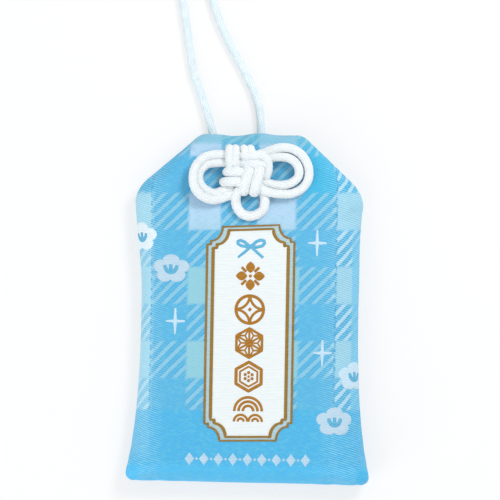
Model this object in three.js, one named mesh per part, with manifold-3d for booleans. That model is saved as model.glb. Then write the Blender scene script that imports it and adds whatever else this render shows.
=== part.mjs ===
// An omamori charm: a flat brocade pouch lying on its back, with a wooden tablet in paper and a
// stiffening card inside, tied through its top with a white cord that makes a bow knot on the
// front and a loop for hanging. Millimetres; X to the right, Y to the top of the pouch, Z out of
// its front. The origin is on the table under the middle of the pouch.
import * as THREE from 'three';
import { mergeVertices } from 'three/addons/utils/BufferGeometryUtils.js';
import Module from 'manifold-3d';

// Pouch outline
const POUCH_HEIGHT = 70.2;
const TOP_WIDTH = 20.6;
const TOP_CORNER_RADIUS = 1.2;
const SHOULDER_WIDTH = 46.6;
const SHOULDER_DROP = 11.6;
const SHOULDER_ROUND = 3.8;
const WAIST_WIDTH = 43.6;
const WAIST_ABOVE_BOTTOM = 35;
const BOTTOM_WIDTH = 49.6;
const BOTTOM_CORNER_RADIUS = 2;

// Pouch thickness: heights above the table
const FRONT_HEIGHT = 7;
const NECK_FRONT_HEIGHT = 6;
const NECK_BACK_HEIGHT = 2.3;
const SEAM_HEIGHT = 3.6;
const WALL = 0.7;
const EDGE_ROUND = 7;
const END_ROUND = 4.5;
const FRONT_NECK_DROP = 16.1;
const FRONT_NECK_LENGTH = 6;
const BACK_NECK_DROP = 7.6;
const BACK_NECK_LENGTH = 7.5;
const CROWN_POWER = 2.5;
const FLARE_POWER = 2.5;
const SLANT_ALLOWANCE = 1.2;

// Fits
const CLEARANCE = 0.3;
const SEAM_THREAD_DIAMETER = 0.5;

// Charm inside the pouch
const CARD_WIDTH = 32;
const CARD_LENGTH = 45;
const CARD_THICKNESS = 0.8;
const CARD_ABOVE_BOTTOM = 5.8;
const TABLET_WIDTH = 28;
const TABLET_LENGTH = 39;
const TABLET_THICKNESS = 2.2;
const PAPER_THICKNESS = 0.4;
const PAPER_OVERHANG = 1.2;

// Cord
const CORD_DIAMETER = 1.6;
const CORD_SIDES = 8;
const LEFT_HOLE_X = -6.3;
const RIGHT_HOLE_X = 1.1;
const HOLE_DROP = 4.5;
const LEFT_EXIT_X = -8.4;
const RIGHT_EXIT_X = 1.6;
const KNOT_X = -1.8;
const KNOT_DROP = 9.2;

const topY = POUCH_HEIGHT / 2;
const bottomY = -POUCH_HEIGHT / 2;
const shoulderY = topY - SHOULDER_DROP;
const waistY = bottomY + WAIST_ABOVE_BOTTOM;
const frontNeckStart = topY - FRONT_NECK_DROP - FRONT_NECK_LENGTH;
const backNeckStart = topY - BACK_NECK_DROP - BACK_NECK_LENGTH;
const holeY = topY - HOLE_DROP;
const cordRadius = CORD_DIAMETER / 2;
const knotBase = NECK_FRONT_HEIGHT + CLEARANCE;

const wasm = await Module();
wasm.setup();

// Joining and cutting

function solidFrom(geometry) {
  const bare = geometry.clone();
  bare.deleteAttribute('normal');
  bare.deleteAttribute('uv');
  const merged = mergeVertices(bare, 1e-5);
  return new wasm.Manifold(new wasm.Mesh({
    numProp: 3,
    vertProperties: new Float32Array(merged.attributes.position.array),
    triVerts: new Uint32Array(merged.index.array),
  }));
}

function geometryFrom(solid) {
  const mesh = solid.getMesh();
  const geometry = new THREE.BufferGeometry();
  geometry.setAttribute('position', new THREE.BufferAttribute(new Float32Array(mesh.vertProperties), 3));
  geometry.setIndex(new THREE.BufferAttribute(new Uint32Array(mesh.triVerts), 1));
  return geometry;
}

function joined(geometries) {
  const solids = geometries.map(solidFrom);
  return geometryFrom(solids.reduce((whole, solid) => whole.add(solid)));
}

// Materials

function cloth(color) {
  return new THREE.MeshStandardMaterial({ color, roughness: 0.6, metalness: 0 });
}

const brocade = cloth(0x78c3ea);
const whiteCord = cloth(0xf1f5fa);
const thread = cloth(0x69b4dd);
const card = cloth(0xcdbfa6);
const paper = cloth(0xf4f1e8);
const wood = new THREE.MeshStandardMaterial({ color: 0xd9b382, roughness: 0.7, metalness: 0 });

const charm = new THREE.Group();

function addPiece(name, geometry, material, parent = charm) {
  const mesh = new THREE.Mesh(geometry, material);
  mesh.name = name;
  parent.add(mesh);
  return mesh;
}

// Pouch: two crowned panels, sides drawn in at the waist, thinner at the neck where the cord passes

function cornerCut(distance, radius) {
  const intoCorner = Math.max(radius - distance, 0);
  return radius - Math.sqrt(radius ** 2 - intoCorner ** 2);
}

function halfWidthAt(y) {
  const upper = Math.max(y - waistY, 0) / (shoulderY - waistY);
  const lower = Math.max(waistY - y, 0) / (waistY - bottomY);
  const shoulderFlare = (SHOULDER_WIDTH - WAIST_WIDTH) * upper ** 2;
  const bottomFlare = (BOTTOM_WIDTH - WAIST_WIDTH) * lower ** FLARE_POWER;
  const side = (WAIST_WIDTH + shoulderFlare + bottomFlare) / 2;
  const slant = THREE.MathUtils.lerp(TOP_WIDTH, SHOULDER_WIDTH, (topY - y) / SHOULDER_DROP) / 2;
  const nearShoulder = Math.max(SHOULDER_ROUND - Math.abs(side - slant), 0);
  const edge = Math.min(side, slant) - nearShoulder ** 2 / (4 * SHOULDER_ROUND);
  return edge - cornerCut(topY - y, TOP_CORNER_RADIUS) - cornerCut(y - bottomY, BOTTOM_CORNER_RADIUS);
}

function rise(distance, length) {
  const left = 1 - THREE.MathUtils.clamp(distance / length, 0, 1);
  return (1 - left ** CROWN_POWER) ** (1 / CROWN_POWER);
}

function frontHeightAt(y) {
  const neck = THREE.MathUtils.smoothstep(y, frontNeckStart, frontNeckStart + FRONT_NECK_LENGTH);
  return THREE.MathUtils.lerp(FRONT_HEIGHT, NECK_FRONT_HEIGHT, neck);
}

function backHeightAt(y) {
  const neck = THREE.MathUtils.smoothstep(y, backNeckStart, backNeckStart + BACK_NECK_LENGTH);
  return NECK_BACK_HEIGHT * neck;
}

// Distances from an edge where the panels have a line of points: close together where they curve most
const edgeSteps = [0, 0.02, 0.09, 0.22, 0.45, 1];
const shoulderSteps = [-1, -0.5, 0, 0.5, 1];
const LEAST_ROW_STEP = 0.05;

function rowHeights() {
  const ends = edgeSteps.map((step) => step * END_ROUND);
  const rows = [...ends.map((end) => bottomY + end), ...ends.map((end) => topY - end)];
  for (const share of shoulderSteps) rows.push(shoulderY + share * SHOULDER_ROUND);
  const bodyRows = 6;
  for (let i = 1; i <= bodyRows; i += 1) {
    rows.push(THREE.MathUtils.lerp(bottomY + END_ROUND, frontNeckStart, i / bodyRows));
  }
  rows.push(frontNeckStart + FRONT_NECK_LENGTH / 2, frontNeckStart + FRONT_NECK_LENGTH);
  rows.push(backNeckStart + BACK_NECK_LENGTH / 2, backNeckStart + BACK_NECK_LENGTH);
  rows.sort((a, b) => a - b);
  return rows.filter((row, i) => i === 0 || row - rows[i - 1] > LEAST_ROW_STEP);
}

function columnPlaces(halfWidth) {
  const outer = edgeSteps.map((step) => halfWidth - step * Math.min(EDGE_ROUND, halfWidth * 0.7));
  const half = [...outer, outer.at(-1) / 2];
  return [...half.map((x) => -x), 0, ...half.reverse()];
}

// One skin of a panel: facing is +1 for the front and -1 for the back, inset is 0 outside and WALL inside
function skin(facing, inset) {
  const rim = SEAM_HEIGHT + facing * CLEARANCE / 2;
  const innerTop = topY - inset;
  const innerBottom = bottomY + inset;
  const shrink = (POUCH_HEIGHT / 2 - inset) / (POUCH_HEIGHT / 2);
  return rowHeights().map((outlineY) => {
    const y = outlineY * shrink;
    const halfWidth = halfWidthAt(outlineY) - inset * SLANT_ALLOWANCE;
    const outside = facing > 0 ? frontHeightAt(outlineY) - rim : rim - backHeightAt(outlineY);
    const endCover = rise(innerTop - y, END_ROUND) * rise(y - innerBottom, END_ROUND);
    return columnPlaces(halfWidth).map((x) => {
      const cover = endCover * rise(halfWidth - Math.abs(x), EDGE_ROUND);
      return new THREE.Vector3(x, y, rim + facing * (outside - inset) * cover);
    });
  });
}

function panel(facing) {
  const outer = skin(facing, 0);
  const inner = skin(facing, WALL);
  const rowCount = outer.length;
  const columnCount = outer[0].length;
  const positions = [...outer.flat(), ...inner.flat()].flatMap((point) => point.toArray());
  const innerStart = rowCount * columnCount;
  const at = (row, column) => row * columnCount + column;
  const triangles = [];
  const quad = (a, b, c, d) => {
    triangles.push(...(facing > 0 ? [a, b, c, a, c, d] : [a, c, b, a, d, c]));
  };
  for (let row = 0; row + 1 < rowCount; row += 1) {
    for (let column = 0; column + 1 < columnCount; column += 1) {
      const corners = [at(row, column), at(row, column + 1), at(row + 1, column + 1), at(row + 1, column)];
      quad(...corners);
      quad(...corners.reverse().map((corner) => corner + innerStart));
    }
  }
  const border = [];
  for (let column = 0; column + 1 < columnCount; column += 1) border.push(at(0, column));
  for (let row = 0; row + 1 < rowCount; row += 1) border.push(at(row, columnCount - 1));
  for (let column = columnCount - 1; column > 0; column -= 1) border.push(at(rowCount - 1, column));
  for (let row = rowCount - 1; row > 0; row -= 1) border.push(at(row, 0));
  border.forEach((corner, i) => {
    const next = border[(i + 1) % border.length];
    quad(next, corner, corner + innerStart, next + innerStart);
  });
  const geometry = new THREE.BufferGeometry();
  geometry.setAttribute('position', new THREE.Float32BufferAttribute(positions, 3));
  geometry.setIndex(triangles);
  return geometry;
}

// The cord bends inside the back hole, so that hole is wider and set a little nearer to the top
function pierced(geometry, radius, y) {
  const cutters = [LEFT_HOLE_X, RIGHT_HOLE_X].map((x) => {
    const cutter = new THREE.CylinderGeometry(radius, radius, FRONT_HEIGHT * 3, 12);
    cutter.rotateX(Math.PI / 2);
    cutter.translate(x, y, SEAM_HEIGHT);
    return solidFrom(cutter);
  });
  return geometryFrom(cutters.reduce((whole, cutter) => whole.subtract(cutter), solidFrom(geometry)));
}

const holeRadius = cordRadius + CLEARANCE;
addPiece('front_panel', pierced(panel(1), holeRadius, holeY), brocade);
addPiece('back_panel', pierced(panel(-1), holeRadius + CLEARANCE, holeY + CLEARANCE), brocade);

// Tubes: cords and sewing thread

function tube(points, diameter, sides, steps) {
  const section = new THREE.Shape();
  for (let i = 0; i < sides; i += 1) {
    const angle = (i + 0.5) * 2 * Math.PI / sides;
    section[i ? 'lineTo' : 'moveTo'](Math.cos(angle) * diameter / 2, Math.sin(angle) * diameter / 2);
  }
  const path = new THREE.CatmullRomCurve3(points.map((point) => new THREE.Vector3(...point)));
  return new THREE.ExtrudeGeometry(section, { extrudePath: path, steps });
}

function cord(points, steps) {
  return tube(points, CORD_DIAMETER, CORD_SIDES, steps);
}

// Seams: a line of sewing inside each side and along the bottom
const threadInset = WALL * SLANT_ALLOWANCE + CLEARANCE + SEAM_THREAD_DIAMETER / 2;
const threadSides = 6;

function sideSeam(side) {
  const pointCount = 8;
  const points = [];
  for (let i = 0; i <= pointCount; i += 1) {
    const y = THREE.MathUtils.lerp(bottomY + END_ROUND, shoulderY - END_ROUND / 2, i / pointCount);
    points.push([side * (halfWidthAt(y) - threadInset), y, SEAM_HEIGHT]);
  }
  return tube(points, SEAM_THREAD_DIAMETER, threadSides, pointCount);
}

const bottomSeamEnd = BOTTOM_WIDTH / 2 - EDGE_ROUND / 2;
const bottomSeamY = bottomY + threadInset;
const bottomSeam = [[-bottomSeamEnd, bottomSeamY, SEAM_HEIGHT], [bottomSeamEnd, bottomSeamY, SEAM_HEIGHT]];
addPiece('left_seam_thread', sideSeam(-1), thread);
addPiece('right_seam_thread', sideSeam(1), thread);
addPiece('bottom_seam_thread', tube(bottomSeam, SEAM_THREAD_DIAMETER, threadSides, 2), thread);

// Charm inside: the card lies on the back panel, the paper sleeve on the card, the tablet in the sleeve
const cardBottom = WALL + CLEARANCE;
const paperBottom = cardBottom + CARD_THICKNESS + CLEARANCE;
const tabletBottom = paperBottom + PAPER_THICKNESS + CLEARANCE;
const paperLength = TABLET_LENGTH + 2 * PAPER_OVERHANG;
const cardMiddleY = bottomY + CARD_ABOVE_BOTTOM + CARD_LENGTH / 2;
const paperMiddleY = bottomY + CARD_ABOVE_BOTTOM + paperLength / 2;

function slab(width, length, thickness, middleY, bottom) {
  return new THREE.BoxGeometry(width, length, thickness).translate(0, middleY, bottom + thickness / 2);
}

function rectangle(path, width, height) {
  path.moveTo(-width / 2, -height / 2);
  path.lineTo(width / 2, -height / 2);
  path.lineTo(width / 2, height / 2);
  path.lineTo(-width / 2, height / 2);
  path.closePath();
  return path;
}

function sleeve() {
  const insideWidth = TABLET_WIDTH + 2 * CLEARANCE;
  const insideHeight = TABLET_THICKNESS + 2 * CLEARANCE;
  const outsideHeight = insideHeight + 2 * PAPER_THICKNESS;
  const section = rectangle(new THREE.Shape(), insideWidth + 2 * PAPER_THICKNESS, outsideHeight);
  section.holes.push(rectangle(new THREE.Path(), insideWidth, insideHeight));
  const geometry = new THREE.ExtrudeGeometry(section, { depth: paperLength, bevelEnabled: false });
  geometry.rotateX(Math.PI / 2);
  return geometry.translate(0, paperMiddleY + paperLength / 2, paperBottom + outsideHeight / 2);
}

const cardSlab = slab(CARD_WIDTH, CARD_LENGTH, CARD_THICKNESS, cardMiddleY, cardBottom);
const tabletSlab = slab(TABLET_WIDTH, TABLET_LENGTH, TABLET_THICKNESS, paperMiddleY, tabletBottom);
addPiece('stiffener_card', cardSlab, card);
addPiece('paper_wrapper', sleeve(), paper);
addPiece('wooden_tablet', tabletSlab, wood);

// Cord runs: under the neck of the pouch from the top edge, then up through both panels to the knot
const runHeight = cordRadius + CLEARANCE;
const runSetback = 0.1;

function cordRun(exitX, holeX) {
  const bend = CORD_DIAMETER * 0.7;
  return cord([
    [exitX, topY - runSetback, runHeight],
    [THREE.MathUtils.lerp(exitX, holeX, 0.6), holeY + bend * 2.2, runHeight],
    [holeX, holeY + bend * 0.9, runHeight + bend * 0.3],
    [holeX, holeY + bend * 0.15, runHeight + bend * 1.2],
    [holeX, holeY, runHeight + bend * 2.2],
    [holeX, holeY, NECK_FRONT_HEIGHT],
  ], 12);
}

addPiece('left_cord_run', cordRun(LEFT_EXIT_X, LEFT_HOLE_X), whiteCord);
addPiece('right_cord_run', cordRun(RIGHT_EXIT_X, RIGHT_HOLE_X), whiteCord);

// Hanging cord: a loop lying on the table. Its route starts at the left exit and ends at the right one,
// measured from the middle of the top edge; both ends are round, so that the loop can swing there.
// It comes down from under the neck to lie on the table.
const swingGap = cordRadius + CLEARANCE + 0.05;
const loopFall = CLEARANCE - 0.05;
const loopFallLength = 10;
const loopRoute = [
  [LEFT_EXIT_X, 0], [-9.3, 3.0], [-10.8, 7.4], [-12.0, 10.6], [-12.7, 13.8], [-13.25, 17.0],
  [-13.75, 20.2], [-14.3, 23.4], [-15.5, 30.4], [-17.0, 37.0], [-17.6, 40.6], [-16.7, 43.5],
  [-13.9, 45.0], [-11.1, 43.6], [-10.2, 40.7], [-10.2, 37.0], [-9.7, 30.6], [-7.8, 23.5],
  [-6.5, 20.3], [-4.95, 17.1], [-3.25, 14.0], [-1.5, 10.8], [0.05, 7.6], [1.1, 4.4], [RIGHT_EXIT_X, 0],
];

function hangingLoop() {
  const ends = [LEFT_EXIT_X, RIGHT_EXIT_X].map((x) => {
    const ball = new THREE.SphereGeometry(cordRadius * 0.98, CORD_SIDES, 6);
    return ball.rotateX(Math.PI / 2).translate(x, 0, 0);
  });
  const points = loopRoute.map(([x, y]) => {
    const fallen = THREE.MathUtils.smoothstep(y, 0, loopFallLength);
    return [x, y, -loopFall * fallen];
  });
  return joined([cord(points, 60), ...ends]);
}

addPiece('hanging_cord', hangingLoop(), whiteCord).position.set(0, topY + swingGap, runHeight);

// Bow knot on the front. Routes are measured from the knot's middle and from its underside.
const knot = new THREE.Group();
knot.position.set(KNOT_X, topY - KNOT_DROP, knotBase);
charm.add(knot);

// Heights of a strand's middle: under another strand, partly raised, and over it
const under = cordRadius + 0.05;
const half = under + CORD_DIAMETER * 0.6;
const over = under + CORD_DIAMETER * 0.85;

// Four pairs of strands turn round the middle, each over the next one and under the one before
const coreRoutes = [
  [[-2.9, 6.7, under], [-2.9, 5.6, half], [-2.9, 4.0, over], [-2.8, 2.4, half], [-2.8, 1.1, under]],
  [[-1.5, 6.7, under], [-1.5, 5.6, half], [-1.5, 4.0, over], [-1.4, 2.4, half], [-1.4, 1.1, under]],
  [[-3.6, 1.6, under], [-2.8, 1.6, half], [-1.2, 1.6, over], [0.6, 1.6, half], [2.0, 1.6, under]],
  [[-4.1, -0.4, under], [-3.2, -0.4, half], [-1.6, -0.4, over], [0.2, -0.4, half], [1.6, -0.4, under]],
  [[0.1, -3.2, under], [0.2, -2.2, half], [0.5, -0.6, over], [0.9, 1.4, half], [1.1, 3.2, under]],
  [[2.2, -3.2, under], [2.4, -2.2, half], [2.6, -0.6, over], [2.9, 1.4, half], [3.0, 3.2, under]],
  [[4.6, 4.8, under], [3.8, 4.8, half], [2.4, 4.8, over], [0.8, 4.8, half], [-0.8, 4.8, under]],
  [[4.6, 3.2, under], [3.8, 3.2, half], [2.4, 3.2, over], [0.8, 3.2, half], [-0.8, 3.2, under]],
  [[0.0, 6.0, under], [0.9, 6.2, half], [1.8, 6.0, under]],
  [[4.1, 3.6, under], [4.2, 2.0, under], [4.1, 0.6, under]],
];

// The ears and the tail loop, each from one end at the knot to the other
const stacked = under + CORD_DIAMETER * 0.95;
const looseStrands = {
  left_ear_outer: [
    [-4.05, 4.7, stacked], [-5.7, 4.8, stacked], [-7.9, 4.3, stacked], [-9.5, 2.8, stacked],
    [-10.0, 0.4, stacked], [-9.5, -2.0, stacked], [-7.9, -3.7, stacked], [-5.7, -4.1, stacked],
    [-2.7, -3.6, stacked],
  ],
  left_ear_inner: [
    [-4.05, 3.5, under], [-5.5, 3.5, under], [-7.5, 3.0, under], [-8.7, 1.8, under], [-9.2, 0.2, under],
    [-8.8, -1.6, under], [-7.6, -2.7, under], [-5.8, -3.0, under], [-2.8, -2.5, under],
  ],
  right_ear_outer: [
    [5.3, 6.4, under], [7.3, 6.5, under], [9.5, 6.3, under], [11.6, 5.1, under], [12.7, 3.1, under],
    [13.0, 1.2, under], [12.3, -1.0, under], [10.4, -2.5, under], [8.2, -2.8, under], [4.7, -2.4, under],
  ],
  right_ear_inner: [
    [5.5, 4.5, under], [7.3, 4.6, under], [9.1, 4.3, under], [10.4, 3.4, under], [11.0, 2.0, under],
    [10.6, 0.4, under], [9.4, -0.6, under], [7.8, -0.9, under], [5.5, -0.5, under],
  ],
  tail_loop: [
    [-1.3, -3.6, under], [-1.3, -5.2, under], [-0.7, -6.4, under], [0.5, -7.1, under], [1.7, -7.3, under],
    [3.0, -7.1, under], [4.1, -6.3, under], [4.5, -5.1, under], [4.5, -3.4, under],
  ],
};

addPiece('knot_core', joined(coreRoutes.map((route) => cord(route, 8))), whiteCord, knot);
for (const [name, route] of Object.entries(looseStrands)) {
  addPiece(name, cord(route, 24), whiteCord, knot);
}

export default charm;
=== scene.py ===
"""The looks of an omamori charm: a brocade pouch tied with white braided cord.

Lengths in the functions are millimetres in the part's own frame: X to the right, Y to the top of
the pouch, Z out of its front. They become metres where a mesh is made.
"""
import math
from functools import partial, reduce

import bpy
import numpy as np
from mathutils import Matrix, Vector
from mathutils.bvhtree import BVHTree
from mathutils.geometry import barycentric_transform, delaunay_2d_cdt


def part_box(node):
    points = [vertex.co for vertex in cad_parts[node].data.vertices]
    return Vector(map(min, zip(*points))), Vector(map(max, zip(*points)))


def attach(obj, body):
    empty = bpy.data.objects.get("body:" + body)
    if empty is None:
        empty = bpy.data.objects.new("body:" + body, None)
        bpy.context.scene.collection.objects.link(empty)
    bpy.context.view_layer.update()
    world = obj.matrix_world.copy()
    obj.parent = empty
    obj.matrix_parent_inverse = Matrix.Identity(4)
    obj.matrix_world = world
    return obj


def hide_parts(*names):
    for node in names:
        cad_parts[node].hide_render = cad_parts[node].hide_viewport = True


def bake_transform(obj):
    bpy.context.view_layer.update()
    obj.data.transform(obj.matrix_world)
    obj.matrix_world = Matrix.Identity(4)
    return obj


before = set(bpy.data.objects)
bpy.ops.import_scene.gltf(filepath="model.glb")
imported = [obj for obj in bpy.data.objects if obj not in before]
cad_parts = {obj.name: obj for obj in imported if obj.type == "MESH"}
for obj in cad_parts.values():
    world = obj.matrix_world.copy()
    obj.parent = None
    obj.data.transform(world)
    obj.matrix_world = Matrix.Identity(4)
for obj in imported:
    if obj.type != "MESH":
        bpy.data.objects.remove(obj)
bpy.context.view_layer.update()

MM = 0.001
pouch_low, pouch_high = (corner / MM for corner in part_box("front_panel"))
back_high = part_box("back_panel")[1] / MM
top_y = pouch_high.y
bottom_y = pouch_low.y
front_z = pouch_high.z
seam_z = (pouch_low.z + back_high.z) / 2

# Camera: straight down on the pouch, turned a little, at the photograph's scale
VIEW_WIDTH = 100.0
VIEW_CENTRE = (-0.2, 11.9)
VIEW_ROLL = math.radians(1.0)
CAMERA_HEIGHT = 600.0


def add_object(name, data):
    """A new object in the scene."""
    thing = bpy.data.objects.new(name, data)
    bpy.context.collection.objects.link(thing)
    return thing


def add_camera():
    data = bpy.data.cameras.new("camera")
    data.lens = data.sensor_width * (CAMERA_HEIGHT - front_z) / VIEW_WIDTH
    camera = add_object("camera", data)
    camera.location = Vector((*VIEW_CENTRE, CAMERA_HEIGHT)) * MM
    camera.rotation_euler = (0, 0, VIEW_ROLL)
    bpy.context.scene.camera = camera


add_camera()


# Node graphs

def srgb(*colour):
    """A colour given in 0 to 255 display values, as the linear colour that a shader takes."""
    shares = [value / 255 for value in colour]
    linear = [share / 12.92 if share <= 0.04045 else ((share + 0.055) / 1.055) ** 2.4 for share in shares]
    return (*linear, 1.0)


class Nodes:
    """Short calls that add nodes to a material or to the world."""

    def __init__(self, owner):
        owner.use_nodes = True
        self.tree = owner.node_tree

    def put(self, socket, value):
        if isinstance(value, bpy.types.NodeSocket):
            self.tree.links.new(value, socket)
        else:
            socket.default_value = value

    def set(self, node, **sockets):
        for name, value in sockets.items():
            self.put(node.inputs[name.replace("_", " ")], value)

    def node(self, kind, **sockets):
        """A new node of that kind, with those sockets set or linked."""
        node = self.tree.nodes.new(kind)
        self.set(node, **sockets)
        return node

    def math(self, operation, *values, kind="ShaderNodeMath"):
        node = self.node(kind)
        node.operation = operation
        for socket, value in zip(node.inputs, values):
            self.put(socket, value)
        return node.outputs[0]

    def add(self, *values):
        return reduce(partial(self.math, "ADD"), values)

    def times(self, *values):
        return reduce(partial(self.math, "MULTIPLY"), values)

    def most(self, *values):
        return reduce(partial(self.math, "MAXIMUM"), values)

    def seen(self):
        """1 on rays that look at a surface straight, in a gloss or through glass, and 0 on the others."""
        path = self.node("ShaderNodeLightPath").outputs
        return self.most(path["Is Camera Ray"], path["Is Glossy Ray"], path["Is Transmission Ray"])


class Graph(Nodes):
    """A material with a Principled shader, whose places are in millimetres."""

    def __init__(self, name, **sockets):
        self.material = bpy.data.materials.new(name)
        super().__init__(self.material)
        self.shader = self.tree.nodes["Principled BSDF"]
        self.set(self.shader, **sockets)
        place = self.node("ShaderNodeTexCoord").outputs["Object"]
        self.lay_by(self.stretch(place, [1 / MM] * 3))

    def lay_by(self, place):
        """Take every place, in millimetres, from that socket."""
        self.place = place
        self.x, self.y = self.node("ShaderNodeSeparateXYZ", Vector=place).outputs[:2]

    def attribute(self, name):
        node = self.node("ShaderNodeAttribute")
        node.attribute_name = name
        return node.outputs

    def stretch(self, place, factors):
        return self.math("MULTIPLY", place, factors, kind="ShaderNodeVectorMath")

    def rest(self, share):
        """What the share leaves of 1."""
        return self.math("SUBTRACT", 1.0, share)

    def level(self, share, low, high):
        """From low where the share is 0 to high where it is 1."""
        return self.add(self.times(share, high - low), low)

    def ramp(self, value, low, high):
        """0 below low, 1 above high, smooth between."""
        node = self.node("ShaderNodeMapRange", Value=value, From_Min=low, From_Max=high)
        node.interpolation_type = "SMOOTHSTEP"
        return node.outputs["Result"]

    def mix(self, share, first, second):
        node = self.node("ShaderNodeMix")
        node.data_type = "RGBA"
        self.put(node.inputs["Factor"], share)
        self.put(node.inputs[6], first)
        self.put(node.inputs[7], second)
        return node.outputs[2]

    def noise(self, scale, detail=2.0, stretch=None):
        """Smooth noise, from about 0.3 to 0.7; scale is in cycles to the millimetre."""
        place = self.stretch(self.place, stretch) if stretch else self.place
        return self.node("ShaderNodeTexNoise", Vector=place, Scale=scale, Detail=detail).outputs["Fac"]

    def wave(self, coordinate, pitch, phase=0.0):
        """A sine of that pitch, from -1 to 1."""
        return self.math("SINE", self.math("MULTIPLY_ADD", coordinate, 2 * math.pi / pitch, phase))

    def paint(self, share, first, second):
        """Colour the shader with a mix of two colours."""
        self.set(self.shader, Base_Color=self.mix(share, first, second))

    def bump(self, height, distance, strength):
        node = self.node("ShaderNodeBump", Strength=strength, Distance=distance * MM, Height=height)
        self.set(self.shader, Normal=node.outputs["Normal"])


# Meshes

CURVE_SAMPLES = 40
LEAST_LENGTH = 1e-9


def add_mesh(name, shells, graph):
    """One smooth-shaded piece from shells, each of them points in millimetres and faces."""
    all_points = []
    all_faces = []
    for points, faces in shells:
        start = len(all_points)
        all_points.extend(Vector(point) * MM for point in points)
        all_faces.extend([start + spot for spot in face] for face in faces)
    mesh = bpy.data.meshes.new(name)
    mesh.from_pydata(all_points, [], all_faces)
    mesh.shade_smooth()
    mesh.materials.append(graph.material)
    return add_object(name, mesh)


def tube_faces(rings, sides, closed=False):
    """Faces of a tube from rings of points, with a cap at each end unless it closes on itself."""
    here = np.arange(rings * sides).reshape(rings, sides)
    after = np.roll(here, -1, axis=0)
    quads = np.stack([here, np.roll(here, -1, axis=1), np.roll(after, -1, axis=1), after], axis=2)
    if closed:
        return quads.reshape(-1, 4).tolist()
    return quads[:-1].reshape(-1, 4).tolist() + [here[0, ::-1].tolist(), here[-1].tolist()]


def unit(vectors):
    """Each row at length 1."""
    return vectors / np.maximum(np.linalg.norm(vectors, axis=1), LEAST_LENGTH)[:, None]


def lerp(first, second, share):
    return first + (second - first) * share


def ease(value, low, high):
    """0 at low and before, 1 at high and beyond, smooth between."""
    share = min(max((value - low) / (high - low), 0.0), 1.0)
    return share * share * (3 - 2 * share)


def smooth_route(route, step):
    """Points at even steps along a smooth curve through the route. The radius, last, runs along."""
    route = np.array(route, float)
    ends = np.vstack([2 * route[0] - route[1], route, 2 * route[-1] - route[-2]])
    gaps = np.linalg.norm(np.diff(ends[:, :3], axis=0), axis=1) ** 0.5
    t = np.linspace(0, 1, CURVE_SAMPLES, endpoint=False)[:, None]
    curve = []
    for i in range(1, len(ends) - 2):
        before, here, after, beyond = ends[i - 1:i + 3]
        gap_in, gap, gap_out = gaps[i - 1:i + 2]
        leave = (here - before) / gap_in - (after - before) / (gap_in + gap) + (after - here) / gap
        reach = (after - here) / gap - (beyond - here) / (gap + gap_out) + (beyond - after) / gap_out
        curve.append(here * (1 + 2 * t) * (1 - t) ** 2 + leave * gap * t * (1 - t) ** 2
                     + after * t ** 2 * (3 - 2 * t) + reach * gap * t ** 2 * (t - 1))
    curve = np.vstack(curve + [route[-1:]])
    travel = np.concatenate([[0], np.cumsum(np.linalg.norm(np.diff(curve[:, :3], axis=0), axis=1))])
    stops = np.linspace(0, travel[-1], max(int(travel[-1] / step), 2))
    return np.stack([np.interp(stops, travel, column) for column in curve.T], axis=1)


# Braided cord

CORD_DIAMETER = 1.6
BRAID_SIDES = 32
BRAID_STEP = 0.12
BRAID_STRANDS = 8
BRAID_PITCH = 0.75
BRAID_RELIEF = 0.17
BRAID_MEAN = 0.6
BRAID_TIP = 0.02
FIRST_SIDE = (0.3, 0.5, 0.8)


def braid_tube(route):
    """Points, faces and each point's share of the relief, for one closed tube of braided strands."""
    line = smooth_route(route, BRAID_STEP)
    centre = line[:, :3]
    radius = line[:, 3:]
    along = unit(np.gradient(centre, axis=0))
    side = np.empty_like(centre)
    carried = np.array(FIRST_SIDE)
    for i, tangent in enumerate(along):
        carried = carried - tangent * carried.dot(tangent)
        carried /= np.linalg.norm(carried)
        side[i] = carried
    other = np.cross(along, side)

    turn = np.arange(BRAID_SIDES) / BRAID_SIDES
    travel = np.arange(len(line))[:, None] * BRAID_STEP
    right = BRAID_STRANDS * turn + travel / BRAID_PITCH
    left = BRAID_STRANDS * turn - travel / BRAID_PITCH
    right_over = (np.floor(right) + np.floor(left)) % 2 == 0
    proud = np.where(right_over, np.abs(np.sin(np.pi * right)), np.abs(np.sin(np.pi * left)))
    from_end = np.minimum(travel, travel[::-1])
    end_round = np.sqrt(1 - (1 - np.clip(from_end / radius, BRAID_TIP, 1)) ** 2)
    reach = (radius + BRAID_RELIEF * (proud - BRAID_MEAN)) * end_round
    angle = 2 * np.pi * turn[None, :, None]
    spoke = side[:, None] * np.cos(angle) + other[:, None] * np.sin(angle)
    points = (centre[:, None] + spoke * reach[:, :, None]).reshape(-1, 3)
    return points, tube_faces(len(line), BRAID_SIDES), proud.ravel()


def add_braid(name, routes, graph):
    """One piece of braided cord, along one or more routes."""
    tubes = [braid_tube(route) for route in routes]
    piece = add_mesh(name, [tube[:2] for tube in tubes], graph)
    proud = np.concatenate([tube[2] for tube in tubes])
    piece.data.attributes.new("proud", "FLOAT", "POINT").data.foreach_set("value", proud)
    return piece


def braid_material(name, colour, shade):
    """White silky yarn: fine filaments, with painted shade in the hollows of the braid."""
    graph = Graph(name, Roughness=0.62, Specular_IOR_Level=0.28, Sheen_Weight=0.2, Sheen_Roughness=0.4)
    # Painted shade: the shade colour laid in the braid's hollows, plus random tone from a cloud of noise
    painted_hollow_shade = graph.ramp(graph.attribute("proud")["Fac"], 0.65, 0.08)
    cloud = graph.ramp(graph.noise(0.9), 0.35, 0.65)
    share = graph.math("MINIMUM", graph.add(painted_hollow_shade, graph.times(cloud, 0.2)), 1.0)
    graph.paint(share, colour, shade)
    graph.bump(graph.noise(9.0, 3.0), 0.03, 0.5)
    return graph


loop_yarn = braid_material("loop_yarn", srgb(244, 253, 255), srgb(184, 218, 234))
knot_yarn = braid_material("knot_yarn", srgb(249, 252, 253), srgb(212, 230, 238))


# Hanging cord: out of the left hole in the back, round the loop and into the right hole

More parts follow.
